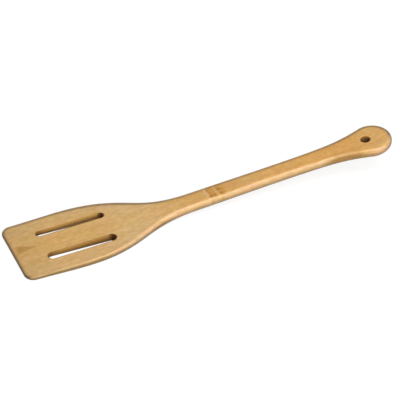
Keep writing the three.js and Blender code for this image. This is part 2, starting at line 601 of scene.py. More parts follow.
@dataclass
class ShapedBlank:
    """The whole turner in one skin, before it is parted along its glue lines."""

    outline: PlanOutline
    profile: SideProfile
    slots: tuple[DrainSlot, ...]
    hole: HangHole
    edge_steps: int = 10
    cap_columns: int = 44
    sanding_depth: float = 0.05 * MM
    sanding_scale: float = 1 / (22 * MM)
    edge_insets: tuple[float, ...] = (0.6 * MM, 1.3 * MM)

    def build(self) -> bpy.types.Object:
        """Lofts the blank, cuts its openings and sands it.

        Returns:
            The shaped blank as a temporary object.
        """
        half = self.outline.half()
        loft = RingLoft(self.cap_columns)
        radius, crest = self.profile.edge_radius, self.profile.crest_radius
        under, top = self.profile.underside, self.profile.top
        quarter = [i / self.edge_steps * math.pi / 2 for i in range(self.edge_steps + 1)]
        for inset in reversed(self.edge_insets):
            loft.add_ring(half, lambda x, i=inset: -radius(x) - i, lambda x, _: under(x))
        for angle in reversed(quarter):
            loft.add_ring(half, lambda x, a=angle: -radius(x) * (1 - math.cos(a)),
                          lambda x, e, a=angle: under(x) + radius(e) * (1 - math.sin(a)))
        for angle in quarter:
            loft.add_ring(half, lambda x, a=angle: -crest(x) * (1 - math.cos(a)),
                          lambda x, e, a=angle: top(x) - crest(e) * (1 - math.sin(a)))
        for inset in self.edge_insets:
            loft.add_ring(half, lambda x, i=inset: -crest(x) - i, lambda x, _: top(x))
        blank = new_object("shaped_blank", loft.mesh())
        self._cut(blank, [slot.cutter() for slot in self.slots] + [self.hole.cutter()])
        self._sand(blank.data)
        return blank

    @staticmethod
    def _cut(blank: bpy.types.Object, cutters: Sequence[bpy.types.Object]) -> None:
        """Subtracts the cutters from the blank and removes them.

        Args:
            blank: Object to cut.
            cutters: Spaces to take out.
        """
        for cutter in cutters:
            cut = blank.modifiers.new(cutter.name, "BOOLEAN")
            cut.operation, cut.solver, cut.object = "DIFFERENCE", "EXACT", cutter
        evaluated = blank.evaluated_get(bpy.context.evaluated_depsgraph_get())
        cut_mesh = bpy.data.meshes.new_from_object(evaluated)
        blank.modifiers.clear()
        blank.data = cut_mesh
        for cutter in cutters:
            bpy.data.objects.remove(cutter)

    def _sand(self, mesh: bpy.types.Mesh) -> None:
        """Takes a thin uneven layer off the wood, as hand sanding does.

        Args:
            mesh: Mesh to sand, changed in place.
        """
        normals = [v.normal.copy() for v in mesh.vertices]
        for vertex, normal in zip(mesh.vertices, normals):
            share = 0.5 + 0.5 * noise.noise(vertex.co * self.sanding_scale)
            vertex.co -= normal * (self.sanding_depth * clamp(share, 0.0, 1.0))


@dataclass
class PaintedEdgeShade:
    """Painted shade on the cut edge, standing in for the shade that falls there.

    It darkens the lower part of the edge all round, and its crest on the right, at the tip and at
    the handle's end. A painted highlight lightens the wood just inside the blade's left edge near
    the tip. Facing spans are shares of the outward normal.
    """

    outline: PlanOutline
    profile: SideProfile
    tip_steps: int = 60
    side_steps: int = 4
    thick: Span = Span(30 * MM, 90 * MM)
    blade: Span = Span(107 * MM, 137 * MM)
    flare_in: Span = Span(241 * MM, 259 * MM)
    flare_out: Span = Span(270 * MM, 288 * MM)
    end_in: Span = Span(284 * MM, 290 * MM)
    right_facing: Span = Span(-0.1, 0.4)
    end_facing: Span = Span(0.1, 0.95)
    tip_facing: Span = Span(0.3, 0.8)
    nose_facing: Span = Span(0.8, 1.0)
    tip_reach: float = 2.8 * MM
    reach: float = 1.6 * MM
    low_from: float = 0.40
    blade_climb: float = 0.27
    thick_relief: float = 0.5
    flare_climb: float = 0.30
    end_climb: float = 0.35
    low_span: float = 0.43
    tip_span: float = 0.5
    blade_span: float = 0.28
    end_span: float = 0.25
    crest: Span = Span(0.5, 0.8)
    right_relief: float = 0.5
    right_share: float = 0.85
    left_share: float = 0.25
    left_out: Span = Span(58 * MM, 88 * MM)
    rim: Span = Span(1.2 * MM, 3.6 * MM)
    tip_rim: Span = Span(0.25 * MM, 2.5 * MM)
    nose_rim: Span = Span(2.4 * MM, 4.0 * MM)
    blade_share: float = 0.87
    handle_share: float = 0.56
    flare_share: float = 0.74
    end_share: float = 0.63
    nose_share: float = 0.93
    margin_facing: Span = Span(-0.6, -0.2)
    margin_in: Span = Span(0.0, 11.1 * MM)
    margin_out: Span = Span(34 * MM, 64 * MM)
    margin_outer: Span = Span(0.0, 1.85 * MM)
    margin_inner: Span = Span(1.85 * MM, 5.55 * MM)

    def __post_init__(self) -> None:
        """Lays out the outline's points for a quick search."""
        half = self.outline.half()
        corner = half[0].point
        shares = [k / self.tip_steps for k in range(-self.tip_steps, self.tip_steps + 1)]
        points = [EdgePoint(Vector((corner.x, corner.y * share)), Vector((-1.0, 0.0)))
                  for share in shares]
        fine = [EdgePoint(a.point.lerp(b.point, k / self.side_steps), a.normal)
                for a, b in zip(half, half[1:]) for k in range(self.side_steps)]
        mirrored = [EdgePoint(Vector((q.x, -q.y)), Vector((n.x, -n.y))) for q, n in fine]
        self.points: list[EdgePoint] = points + fine + mirrored
        self.tree = KDTree(len(self.points))
        for index, (point, _) in enumerate(self.points):
            self.tree.insert((point.x, point.y, 0.0), index)
        self.tree.balance()

    def at(self, p: Vector) -> float:
        """Finds how much painted shade a point gets.

        Args:
            p: Point of the blank.

        Returns:
            0 on the faces, up to 1 on the edge.
        """
        _, index, apart = self.tree.find((p.x, p.y, 0.0))
        ahead, facing = self.points[index].normal
        height = (p.z - self.profile.underside(p.x)) / self.profile.thickness(p.x)
        thick = self.thick.rise(p.x)
        blade = self.blade.fall(p.x)
        right = self.right_facing.rise(facing)
        flare = self.flare_in.rise(p.x) * (1.0 - (1.0 - right) * self.flare_out.rise(p.x))
        end = self.end_in.rise(p.x) * self.end_facing.rise(ahead)
        tip = self.tip_facing.rise(-ahead)
        nose = self.nose_facing.rise(ahead)
        start = self.low_from + self.blade_climb * (1.0 - self.thick_relief * thick) * blade
        start += self.flare_climb * flare * (1.0 - right) + self.end_climb * end
        blade_span = between(self.tip_span, self.blade_span, thick)
        span = between(self.low_span, blade_span, blade) + (self.end_span - self.low_span) * end
        # Painted shade: the lower part of the edge all round, and the crest on the right, at the
        # tip and at the handle's end.
        low = Span(start, start + span).fall(height) * (1.0 - self.right_relief * right)
        left = self.left_share * thick * self.left_out.fall(p.x)
        upper = max(self.right_share * right, left * self.rim.fall(apart),
                    tip * self.tip_rim.fall(apart), nose * self.nose_rim.fall(apart))
        painted_shade = max(low, self.crest.rise(height) * upper)
        strength = between(self.handle_share, self.blade_share, blade)
        strength += (self.flare_share - self.handle_share) * flare
        strength += (self.end_share - self.handle_share) * end
        radius = self.profile.edge_radius(p.x)
        edge = Span(radius, radius + between(self.tip_reach, self.reach, thick)).fall(apart)
        return edge * painted_shade * max(strength, self.nose_share * nose, tip)

    def painted_highlight(self, p: Vector) -> float:
        """Finds how much painted highlight a point gets, in a band along the blade's left edge.

        Args:
            p: Point of the blank.

        Returns:
            0 outside the band, up to 1 along its middle.
        """
        # Painted highlight along the blade's left edge, towards the tip.
        _, index, apart = self.tree.find((p.x, p.y, 0.0))
        left = self.margin_facing.fall(self.points[index].normal.y)
        along = self.margin_out.fall(p.x) * self.margin_in.rise(p.x)
        return left * along * self.margin_outer.rise(apart) * self.margin_inner.fall(apart)


class Place(NamedTuple):
    """The three parts of a place or a direction in a shader."""

    x: Socket
    y: Socket
    z: Socket


class NodeSheet:
    """Short calls that add and link shader nodes."""

    def __init__(self, tree: bpy.types.NodeTree) -> None:
        """Clears a node tree and keeps it."""
        self.tree = tree
        tree.nodes.clear()

    def add(self, kind: str, **settings: object) -> bpy.types.Node:
        """Adds a node.

        Args:
            kind: Blender's name of the node's type.
            **settings: Properties to set on it.

        Returns:
            The node.
        """
        node = self.tree.nodes.new(kind)
        for key, value in settings.items():
            setattr(node, key, value)
        return node

    def feed(self, socket: Socket, value: object) -> None:
        """Links an output into a socket, or sets a constant on it.

        Args:
            socket: Input to feed.
            value: Output or constant.
        """
        if isinstance(value, Socket):
            self.tree.links.new(value, socket)
        else:
            socket.default_value = value

    def fill(self, node: bpy.types.Node, *values: object) -> Socket:
        """Feeds a node's inputs in order.

        Args:
            node: Node to feed.
            *values: Outputs and constants, one for each input from the first.

        Returns:
            The node's first output.
        """
        for socket, value in zip(node.inputs, values):
            self.feed(socket, value)
        return node.outputs[0]

    def math(self, operation: str, *values: Value) -> Socket:
        """Returns the result of a math operation."""
        return self.fill(self.add("ShaderNodeMath", operation=operation), *values)

    def times(self, first: Value, *others: Value) -> Value:
        """Multiplies values in order.

        Args:
            first: First value.
            *others: Values to multiply it by.

        Returns:
            The product.
        """
        for other in others:
            first = self.math("MULTIPLY", first, other)
        return first

    def ramp(self, value: Value, span: Span, first: float = 0.0, last: float = 1.0) -> Socket:
        """Returns first before the span, last after it and an eased value within it."""
        node = self.add("ShaderNodeMapRange", interpolation_type="SMOOTHSTEP")
        return self.fill(node, value, *span, first, last)

    def mix(self, share: Value, first: Socket | Colour, second: Socket | Colour,
            blend: str = "MIX") -> Socket:
        """Mixes two colours.

        Args:
            share: How far the second colour shows.
            first: Colour at share 0.
            second: Colour that is blended over it.
            blend: Blender's name of the way to blend.

        Returns:
            The mixed colour.
        """
        node = self.add("ShaderNodeMix", data_type="RGBA", blend_type=blend)
        colour_inputs = [s for s in node.inputs if s.type == "RGBA"]
        self.feed(node.inputs[0], share)
        for socket, value in zip(colour_inputs, (first, second)):
            self.feed(socket, (*value, 1.0) if isinstance(value, tuple) else value)
        return next(s for s in node.outputs if s.type == "RGBA")

    def tint(self, share: Value, colour: Socket, tint: Socket | Colour) -> Socket:
        """Returns the colour multiplied by a tint, as far as share says."""
        return self.mix(share, colour, tint, blend="MULTIPLY")

    def vector(self, *parts: Value) -> Socket:
        """Returns a vector joined from three values."""
        return self.fill(self.add("ShaderNodeCombineXYZ"), *parts)

    def parts(self, vector: Socket) -> Place:
        """Parts a vector.

        Args:
            vector: Place or direction.

        Returns:
            Its three parts.
        """
        node = self.add("ShaderNodeSeparateXYZ")
        self.feed(node.inputs[0], vector)
        return Place(*node.outputs)

    def noise(self, vector: Socket, detail: float) -> Socket:
        """Draws noise.

        Args:
            vector: Place, already in the noise's own scale.
            detail: Number of finer layers.

        Returns:
            A value around 0.5.
        """
        node = self.add("ShaderNodeTexNoise")
        self.feed(node.inputs["Vector"], vector)
        node.inputs["Scale"].default_value = 1.0
        node.inputs["Detail"].default_value = detail
        return node.outputs["Fac"]

    def attribute(self, name: str) -> Socket:
        """Returns a value kept on the mesh."""
        return self.add("ShaderNodeAttribute", attribute_name=name).outputs["Fac"]


class Streak(Enum):
    """Noise drawn out along a stave: scale per millimetre along and across it, and detail."""

    BROAD = (0.006, 0.22, 2.0)
    MEDIUM = (0.014, 0.9, 3.0)
    FIBRE = (0.02, 2.7, 3.0)
    FLECK = (0.13, 2.4, 1.0)
    MOTTLE = (0.22, 0.34, 2.0)
    TINGE = (0.05, 0.15, 2.0)
    SPECK = (0.26, 0.62, 2.0)

    def draw(self, sheet: NodeSheet, grain: Place) -> Socket:
        """Draws the streaks.

        Args:
            sheet: Nodes to add to.
            grain: Place along and across the fibres.

        Returns:
            A value around 0.5.
        """
        along, across, detail = self.value
        scaled = [sheet.times(v, k) for v, k in zip(grain, (along, across, across))]
        return sheet.noise(sheet.vector(*scaled), detail)


@dataclass(frozen=True)
class Grain:
    """Fibres of a stave, in streaks that colour, pit and dull it; places in millimetres."""

    drift_scale: tuple[float, float] = (0.009, 0.05)
    drift_detail: float = 1.0
    drift: float = 1.4
    seed_shift: float = 17.3
    seed_lift: float = 5.1
    tone: Span = Span(0.3, 0.7)
    broad_tone: float = 0.3
    medium_tone: float = 0.25
    mottle_tone: float = 0.45
    turn: Span = Span(0.36, 0.64)
    olive: Colour = (0.975, 1.0, 0.93)
    rose: Colour = (1.015, 0.982, 1.02)
    light_speck: Colour = (1.035, 1.05, 1.12)
    dark_speck: Colour = (0.965, 0.945, 0.88)
    fibre: Span = Span(0.5, 0.74)
    fleck: Span = Span(0.62, 0.74)
    fibre_share: float = 0.2
    fleck_share: float = 0.38
    fibre_brown: Colour = (0.36, 0.20, 0.07)
    fibre_pit: float = 0.4
    fleck_pit: float = 0.6
    bump_strength: float = 0.3
    bump_height: float = 0.1 * MM
    rough: float = 0.25
    rough_medium: float = 0.14
    rough_fleck: float = 0.1

    def streaks(self, sheet: NodeSheet, place: Place, seed: float) -> dict[Streak, Socket]:
        """Draws every kind of streak, drifting slightly along the stave.

        Args:
            sheet: Nodes to add to.
            place: Place on the stave.
            seed: Number that sets the stave's pattern apart.

        Returns:
            The streaks by kind, fibres and flecks cut down to what shows of them.
        """
        along, across = self.drift_scale
        spot = sheet.vector(sheet.times(place.x, along), sheet.times(place.y, across), seed)
        drifted = sheet.math("MULTIPLY_ADD", sheet.noise(spot, self.drift_detail),
                             self.drift, seed * self.seed_shift)
        grain = Place(place.x, sheet.math("ADD", place.y, drifted),
                      sheet.math("ADD", place.z, seed * self.seed_lift))
        streaks = {kind: kind.draw(sheet, grain) for kind in Streak}
        for kind, shown in ((Streak.FIBRE, self.fibre), (Streak.FLECK, self.fleck)):
            streaks[kind] = sheet.ramp(streaks[kind], shown)
        return streaks

    def colour(self, sheet: NodeSheet, streaks: dict[Streak, Socket], shade: Shade) -> Socket:
        """Colours the wood between its pale and deep tones.

        Args:
            sheet: Nodes to add to.
            streaks: Streaks of the stave.
            shade: Tones of the strip.

        Returns:
            The colour, with olive and rose drifts and fine specks.
        """
        share: Value = 0.0
        tones = ((Streak.BROAD, self.broad_tone), (Streak.MEDIUM, self.medium_tone),
                 (Streak.MOTTLE, self.mottle_tone))
        for kind, part in tones:
            share = sheet.math("ADD", share, sheet.ramp(streaks[kind], self.tone, 0.0, part))
        colour = sheet.mix(share, *shade.value)
        turns = ((Streak.TINGE, self.olive, self.rose),
                 (Streak.SPECK, self.light_speck, self.dark_speck))
        for kind, first, second in turns:
            turned = sheet.mix(sheet.ramp(streaks[kind], self.turn), first, second)
            colour = sheet.tint(1.0, colour, turned)
        return colour

    def lay_fibres(self, sheet: NodeSheet, colour: Socket,
                   streaks: dict[Streak, Socket]) -> Socket:
        """Lays the brown fibres and flecks over a colour.

        Args:
            sheet: Nodes to add to.
            colour: Colour below them.
            streaks: Streaks of the stave.

        Returns:
            The colour with fibres and flecks.
        """
        for kind, part in ((Streak.FIBRE, self.fibre_share), (Streak.FLECK, self.fleck_share)):
            colour = sheet.mix(sheet.times(streaks[kind], part), colour, self.fibre_brown)
        return colour

    def relief(self, sheet: NodeSheet, streaks: dict[Streak, Socket]) -> Socket:
        """Raises the grain and pits the fibres.

        Args:
            sheet: Nodes to add to.
            streaks: Streaks of the stave.

        Returns:
            The bumped normal.
        """
        bump = sheet.add("ShaderNodeBump")
        bump.inputs["Strength"].default_value = self.bump_strength
        bump.inputs["Distance"].default_value = self.bump_height
        pits = sheet.math("ADD", sheet.times(streaks[Streak.FIBRE], self.fibre_pit),
                          sheet.times(streaks[Streak.FLECK], self.fleck_pit))
        sheet.feed(bump.inputs["Height"], sheet.math("SUBTRACT", streaks[Streak.MEDIUM], pits))
        return bump.outputs["Normal"]

    def roughness(self, sheet: NodeSheet, streaks: dict[Streak, Socket]) -> Socket:
        """Returns the roughness of sanded and oiled wood, duller on its flecks."""
        rough = sheet.math("MULTIPLY_ADD", streaks[Streak.MEDIUM], self.rough_medium, self.rough)
        return sheet.math("ADD", rough, sheet.times(streaks[Streak.FLECK], self.rough_fleck))


@dataclass(frozen=True)
class ToneZones:
    """Changes of tone along the turner, in millimetres from the tip and the centre line.

    The tip is duller, the shoulder's face paler and the handle's face warmer. Behind the blade
    the sides get a pale bluish painted reflection instead, apart from the flare's toasted left
    side.
    """

    tip: Span = Span(32.0, 10.0)
    tip_tint: Colour = (0.92, 0.915, 0.93)
    shoulder_in: Span = Span(60.0, 95.0)
    shoulder_out: Span = Span(102.0, 132.0)
    shoulder_tint: Colour = (1.02, 1.085, 1.29)
    handle_in: Span = Span(150.0, 250.0)
    handle_out: Span = Span(274.0, 296.0)
    handle_rest: float = 0.4
    handle_tint: Colour = (1.03, 0.905, 0.65)
    toast_in: Span = Span(246.0, 258.0)
    toast_out: Span = Span(274.0, 286.0)
    toast_left: Span = Span(-6.0, -9.0)
    painted_sheen_in: Span = Span(60.0, 95.0)
    painted_sheen_tint: Colour = (0.97, 0.995, 1.28)

    def paint(self, sheet: NodeSheet, colour: Socket, place: Place, on_face: Socket) -> Socket:
        """Lays the zones over a colour.

        Args:
            sheet: Nodes to add to.
            colour: Colour below them.
            place: Place on the turner.
            on_face: 1 on the top and bottom faces, 0 on the sides.

        Returns:
            The tinted colour.
        """
        x, y, _ = place
        shoulder = sheet.times(sheet.ramp(x, self.shoulder_in),
                               sheet.ramp(x, self.shoulder_out, 1.0, 0.0), on_face)
        toasted = sheet.times(sheet.ramp(x, self.toast_in),
                              sheet.ramp(x, self.toast_out, 1.0, 0.0),
                              sheet.ramp(y, self.toast_left))
        warm = sheet.math("MAXIMUM", toasted, on_face)
        handle = sheet.times(sheet.ramp(x, self.handle_in),
                             sheet.ramp(x, self.handle_out, 1.0, self.handle_rest), warm)
        # Painted reflection: a pale bluish tint on the sides behind the blade, for the white
        # gloss they would show.
        sides = sheet.times(sheet.ramp(x, self.painted_sheen_in), sheet.math("SUBTRACT", 1.0, warm))
        zones = ((sheet.ramp(x, self.tip), self.tip_tint), (shoulder, self.shoulder_tint),
                 (handle, self.handle_tint), (sides, self.painted_sheen_tint))
        for share, tint in zones:
            colour = sheet.tint(share, colour, tint)
        return colour


class BudScar(NamedTuple):
    """A brown scar beside the culm joint: its centre and its reach in millimetres."""

    x: float
    y: float
    reach: float


@dataclass(frozen=True)
class GrowthNode:
    """The joint of the bamboo culm across the handle, its places in millimetres.

    Two pale rings run round the stave with golden wood behind them, brown bud scars lie in that
    wood, and the grooves turn olive on the sides of the handle.
    """

    rings: tuple[float, float] = (153.5, 161.2)
    skew: float = -0.06
    wave_scale: float = 0.35
    wave_detail: float = 2.0
    wobble: float = 2.4
    on_side: Span = Span(7.0, 8.2)
    amber_in: Span = Span(128.0, 140.0)
    amber_out: Span = Span(174.0, 186.0)
    gold_in: Span = Span(153.5, 157.5)
    gold_out: Span = Span(165.2, 170.2)
    olive_in: Span = Span(-0.4, 2.2)
    olive_out: Span = Span(5.0, 2.0)
    ridge: Span = Span(1.7, 0.1)
    ridge_share: float = 0.62
    side_drop: float = -0.45
    scars: tuple[BudScar, ...] = (
        BudScar(155.4, 2.8, 2.0), BudScar(155.8, 0.2, 1.8), BudScar(155.9, -4.4, 2.9),
        BudScar(159.2, -4.9, 2.3), BudScar(163.2, 0.6, 2.8), BudScar(163.8, -4.6, 2.4))
    pale: Colour = (0.76, 0.47, 0.22)
    gold: Colour = (0.87, 0.80, 0.44)
    scar: Colour = (0.70, 0.56, 0.32)
    olive: Colour = (0.86, 0.92, 0.64)
    amber: Colour = (1.0, 0.92, 0.80)

    def paint(self, sheet: NodeSheet, colour: Socket, place: Place, on_face: Socket) -> Socket:
        """Lays the culm joint over a colour.

        Args:
            sheet: Nodes to add to.
            colour: Colour below it.
            place: Place on the turner.
            on_face: 1 on the top and bottom faces, 0 on the sides.

        Returns:
            The colour with rings, golden wood and scars.
        """
        wave = sheet.noise(sheet.vector(*(sheet.times(v, self.wave_scale) for v in place)),
                           self.wave_detail)
        wavy = sheet.math("MULTIPLY_ADD", wave, self.wobble, -self.wobble / 2)
        slant = sheet.math("MULTIPLY_ADD", place.y, self.skew, wavy)
        along = sheet.math("SUBTRACT", place.x, slant)
        bands = ((self.amber_in, self.amber_out, self.amber),
                 (self.gold_in, self.gold_out, self.gold))
        for rising, falling, tint in bands:
            band = sheet.times(sheet.ramp(along, rising), sheet.ramp(along, falling, 1.0, 0.0))
            colour = sheet.tint(sheet.times(band, on_face), colour, tint)
        on_side = sheet.ramp(sheet.math("ABSOLUTE", place.y), self.on_side)
        for ring in self.rings:
            off = sheet.math("SUBTRACT", along, ring)
            groove = sheet.times(sheet.ramp(off, self.olive_in), sheet.ramp(off, self.olive_out))
            colour = sheet.tint(sheet.times(groove, on_side), colour, self.olive)
            ridge = sheet.times(
                sheet.ramp(sheet.math("ABSOLUTE", off), self.ridge),
                sheet.math("MULTIPLY_ADD", on_side, self.side_drop, self.ridge_share))
            colour = sheet.mix(ridge, colour, self.pale)
        flat = sheet.vector(along, sheet.math("ADD", place.y, wavy), 0.0)
        for scar in self.scars:
            apart = sheet.add("ShaderNodeVectorMath", operation="DISTANCE")
            sheet.fill(apart, flat, (scar.x, scar.y, 0.0))
            inside = sheet.ramp(apart.outputs["Value"], Span(scar.reach, 0.0))
            colour = sheet.tint(inside, colour, self.scar)
        return colour


@dataclass(frozen=True)
class TipFlame:
    """The brown flame of grain behind the blade tip, its places in millimetres."""

    start: float = 2.8
    start_skew: float = 0.09
    apex: float = 19.6
    apex_y: float = 0.8
    base_high: float = 8.9
    base_low: float = -3.4
    high_edge: Span = Span(-1.3, 1.3)
    low_edge: Span = Span(-0.65, 1.3)
    base_edge: Span = Span(-1.3, 2.6)
    feather: float = 3.0
    apex_share: float = 0.65
    tint: Colour = (0.71, 0.645, 0.37)

    def paint(self, sheet: NodeSheet, colour: Socket, place: Place, grain: Socket) -> Socket:
        """Lays the flame over a colour.

        Args:
            sheet: Nodes to add to.
            colour: Colour below it.
            place: Place on the turner.
            grain: Streaks that feather its edges.

        Returns:
            The colour with the flame.
        """
        x, y, _ = place
        left = sheet.math("SUBTRACT", 1.0, sheet.math("DIVIDE", x, self.apex))
        feathered = sheet.math("MULTIPLY_ADD", grain, self.feather, -self.feather / 2)
        edge_y = sheet.math("ADD", y, feathered)
        high, low = (sheet.math("MULTIPLY_ADD", left, base - self.apex_y, self.apex_y)
                     for base in (self.base_high, self.base_low))
        under_high = sheet.ramp(sheet.math("SUBTRACT", high, edge_y), self.high_edge)
        over_low = sheet.ramp(sheet.math("SUBTRACT", edge_y, low), self.low_edge)
        base_x = sheet.math("MULTIPLY_ADD", y, self.start_skew, self.start)
        from_base = sheet.math("ADD", sheet.math("SUBTRACT", x, base_x), feathered)
        behind = sheet.times(sheet.ramp(from_base, self.base_edge),
                             sheet.ramp(x, Span(self.start, self.apex), 1.0, self.apex_share))
        return sheet.tint(sheet.times(under_high, over_low, behind), colour, self.tint)


@dataclass(frozen=True)
class EndGrainAndShade:
    """Darker wood with pores where the surface faces along the stave, made darker still as
    painted shade.
    """

    facing: Span = Span(0.45, 0.9)
    pores_per_mm: float = 1.5
    pore: Span = Span(0.34, 0.18)
    pore_share: float = 0.25
    wood_share: float = 0.65
    brown: Colour = (0.17, 0.09, 0.03)

    def paint(self, sheet: NodeSheet, colour: Socket, place: Place) -> Socket:
        """Lays the end grain and its painted shade over a colour.

        Args:
            sheet: Nodes to add to.
            colour: Colour below it.
            place: Place on the turner.

        Returns:
            The colour with end grain.
        """
        normal = sheet.parts(sheet.add("ShaderNodeNewGeometry").outputs["Normal"])
        cut = sheet.ramp(sheet.math("ABSOLUTE", normal.x), self.facing)
        pores = sheet.add("ShaderNodeTexVoronoi", voronoi_dimensions="2D", feature="F1")
        sheet.feed(pores.inputs["Vector"], sheet.vector(place.y, place.z, 0.0))
        pores.inputs["Scale"].default_value = self.pores_per_mm
        dots = sheet.ramp(pores.outputs["Distance"], self.pore)
        shown = sheet.math("MULTIPLY_ADD", dots, self.pore_share, self.wood_share)
        return sheet.mix(sheet.times(cut, shown), colour, self.brown)


@dataclass(frozen=True)
class BambooFinish:
    """Sanded and oiled bamboo with its fibres along the stave."""

    name: str
    slot: str
    shade: Shade
    seed: float
    marks: frozenset[Mark] = frozenset()
    grain: Grain = field(default_factory=Grain)
    zones: ToneZones = field(default_factory=ToneZones)
    node: GrowthNode = field(default_factory=GrowthNode)
    flame: TipFlame = field(default_factory=TipFlame)
    end_grain_and_shade: EndGrainAndShade = field(default_factory=EndGrainAndShade)
    face: Span = Span(0.80, 0.97)
    # Tint of the painted highlight along the blade's left edge.
    painted_highlight_tint: Colour = (1.20, 1.18, 1.28)
    # Tint of the painted shade on the edges.
    painted_edge_shade: Colour = (0.25, 0.24, 0.20)
    # Colours of the slot and hole walls: the cutter's burn with painted shade of the recess.
    burn_and_shade: Colour = (0.36, 0.19, 0.045)
    burn_and_shade_dark: Colour = (0.075, 0.022, 0.004)
    burnt_and_shaded: Span = Span(0.0, 0.7)
    darkest_burn_and_shade: Span = Span(0.7, 1.0)
    worn: Span = Span(105.0, 150.0)
    rough_worn: float = 0.14
    rough_burn_and_shade: float = 0.45
    specular: float = 0.5

    def material(self, tip_x: float) -> bpy.types.Material:
        """Makes the material.

        Args:
            tip_x: Place of the blade tip along X in the frame.

        Returns:
            A node material for one stave.
        """
        material = bpy.data.materials.new(self.name)
        material.use_nodes = True
        sheet = NodeSheet(material.node_tree)
        source = sheet.add("ShaderNodeTexCoord")
        x, y, z = (sheet.times(part, 1 / MM) for part in sheet.parts(source.outputs["Object"]))
        place = Place(sheet.math("SUBTRACT", x, tip_x / MM), y, z)
        upright = sheet.math("ABSOLUTE", sheet.parts(source.outputs["Normal"]).z)
        on_face = sheet.ramp(upright, self.face)
        streaks = self.grain.streaks(sheet, place, self.seed)
        colour = self.grain.colour(sheet, streaks, self.shade)
        colour = self.zones.paint(sheet, colour, place, on_face)
        colour = self.grain.lay_fibres(sheet, colour, streaks)
        if Mark.NODE in self.marks:
            colour = self.node.paint(sheet, colour, place, on_face)
        if Mark.TIP_FLAME in self.marks:
            colour = self.flame.paint(sheet, colour, place, streaks[Streak.MEDIUM])
        # End grain, darkened further as painted shade.
        colour = self.end_grain_and_shade.paint(sheet, colour, place)
        # Painted highlight along the blade's left edge.
        colour = sheet.tint(sheet.attribute("painted_highlight"), colour, self.painted_highlight_tint)
        # Painted shade on the edges.
        colour = sheet.tint(sheet.attribute("painted_edge_shade"), colour, self.painted_edge_shade)
        # Slot and hole walls: the cutter's burn with painted shade.
        burn_and_shade_share = sheet.attribute("burn_and_shade")
        colour = sheet.mix(sheet.ramp(burn_and_shade_share, self.burnt_and_shaded), colour, self.burn_and_shade)
        colour = sheet.mix(sheet.ramp(burn_and_shade_share, self.darkest_burn_and_shade), colour, self.burn_and_shade_dark)
        rough = self.grain.roughness(sheet, streaks)
        rough = sheet.math("ADD", rough, sheet.ramp(place.x, self.worn, self.rough_worn, 0.0))
        burn_and_shade_rough = sheet.ramp(burn_and_shade_share, self.burnt_and_shaded, 0.0, self.rough_burn_and_shade)
        shader = sheet.add("ShaderNodeBsdfPrincipled")
        sheet.feed(shader.inputs["Base Color"], colour)
        sheet.feed(shader.inputs["Roughness"], sheet.math("ADD", rough, burn_and_shade_rough))
        sheet.feed(shader.inputs["Normal"], self.grain.relief(sheet, streaks))
        shader.inputs["Specular IOR Level"].default_value = self.specular
        output = sheet.add("ShaderNodeOutputMaterial")
        sheet.feed(output.inputs["Surface"], shader.outputs[0])
        return material


@dataclass
class Stave:
    """One bamboo strip of the blank, between two glue lines."""

    name: str
    from_y: float
    to_y: float
    finish: BambooFinish
    sharp_angle: float = math.radians(32)

    def build(self, blank: bpy.types.Object, shift_x: float,
              openings: Sequence[DrainSlot | HangHole], painted_shading: PaintedEdgeShade) -> bpy.types.Object:
        """Parts the stave from the blank.

        Args:
            blank: The shaped blank.
            shift_x: Move along X from the tip's place to the frame's.
            openings: Slots and holes whose walls get the cutter's burn and painted shade.
            painted_shading: Painted shade along the outline's edge.

        Returns:
            The stave's object, in the frame.
        """
        bm = bmesh.new()
        bm.from_mesh(blank.data)
        for plane_y, outward in ((self.from_y, -1.0), (self.to_y, 1.0)):
            geometry = bm.verts[:] + bm.edges[:] + bm.faces[:]
            bmesh.ops.bisect_plane(bm, geom=geometry, dist=WELD, plane_co=(0.0, plane_y, 0.0),
                                   plane_no=(0.0, outward, 0.0), clear_outer=True)
            rim = [e for e in bm.edges if e.is_boundary]
            bmesh.ops.holes_fill(bm, edges=rim, sides=0)
        bmesh.ops.recalc_face_normals(bm, faces=bm.faces[:])
        for edge in bm.edges:
            joined = len(edge.link_faces) == 2
            edge.smooth = joined and edge.calc_face_angle() < self.sharp_angle
        for face in bm.faces:
            face.smooth = True
        strengths = {
            "burn_and_shade": lambda p: max(opening.burn_and_shade_at(p) for opening in openings),
            "painted_edge_shade": painted_shading.at,
            "painted_highlight": painted_shading.painted_highlight,
        }
        for name, strength in strengths.items():
            layer = bm.verts.layers.float.new(name)
            for vert in bm.verts:
                vert[layer] = strength(vert.co)
        bmesh.ops.translate(bm, verts=bm.verts[:], vec=(shift_x, 0.0, 0.0))
        return new_object(f"{self.name}_wood", bm)

    def dress(self, piece: bpy.types.Object, tip_x: float) -> None:
        """Gives the stave its finish and ties it to the frame.

        Args:
            piece: The stave's object.
            tip_x: Place of the blade tip along X in the frame.
        """
        piece.data.materials.clear()
        piece.data.materials.append(self.finish.material(tip_x))
        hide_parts(self.name)
        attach(piece, BODY)
        faces = len(piece.data.polygons)
        log.info("%s: %d faces, finish %s", piece.name, faces, self.finish.name)


